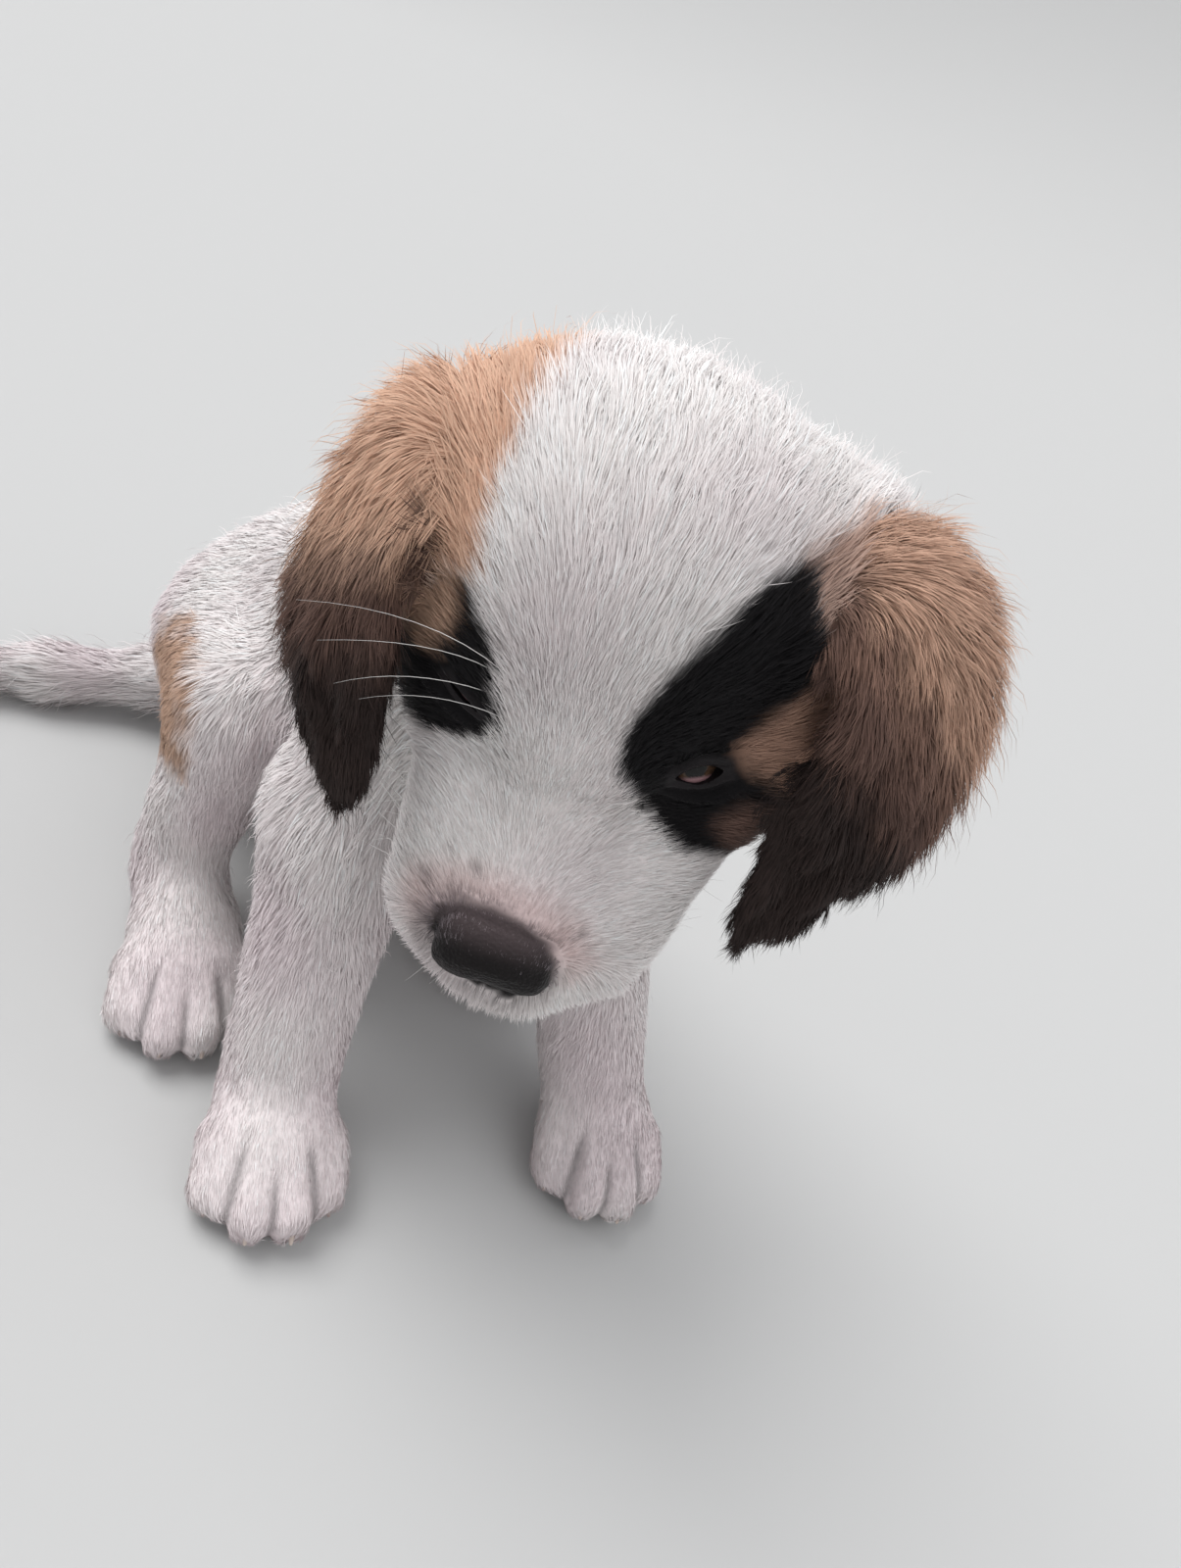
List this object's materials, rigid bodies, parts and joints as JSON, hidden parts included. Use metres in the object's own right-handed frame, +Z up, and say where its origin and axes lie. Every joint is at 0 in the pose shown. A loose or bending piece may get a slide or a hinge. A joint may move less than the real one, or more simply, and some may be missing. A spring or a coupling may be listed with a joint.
{
  "type": "saint bernard puppy model",
  "caption": "Life-size still model of a sitting Saint Bernard puppy with a bowed head, hanging fluffy ears and its tail laid out to one side.",
  "frame": {"origin": "middle of the footprint, on the floor", "axes": "+Z up, the puppy faces -Y, its left side is +X"},
  "size_m": [0.2916, 0.3774, 0.3183],
  "materials": {
    "coat_white": "soft short coat, matt",
    "coat_tan": "long soft coat, matt",
    "nose_leather": "moist pebbled leather",
    "eye": "wet gloss",
    "claw": "satin horn"
  },
  "bodies": {
    "root": {"eye_l": "eye", "eye_r": "eye", "head": "coat_white", "nose": "nose_leather", "jaw": "coat_white", "ear_l": "coat_tan", "ear_r": "coat_tan", "neck": "coat_white", "torso": "coat_white", "foreleg_r": "coat_white", "claw_fore_r_1": "claw", "claw_fore_r_2": "claw", "claw_fore_r_3": "claw", "claw_fore_r_4": "claw", "forepaw_r": "coat_white", "thigh_r": "coat_white", "hock_r": "coat_white", "claw_hind_r_1": "claw", "claw_hind_r_2": "claw", "claw_hind_r_3": "claw", "claw_hind_r_4": "claw", "hindpaw_r": "coat_white", "foreleg_l": "coat_white", "claw_fore_l_1": "claw", "claw_fore_l_2": "claw", "claw_fore_l_3": "claw", "claw_fore_l_4": "claw", "forepaw_l": "coat_white", "thigh_l": "coat_white", "hock_l": "coat_white", "claw_hind_l_1": "claw", "claw_hind_l_2": "claw", "claw_hind_l_3": "claw", "claw_hind_l_4": "claw", "hindpaw_l": "coat_white", "tail": "coat_white"}
  },
  "joints": []
}
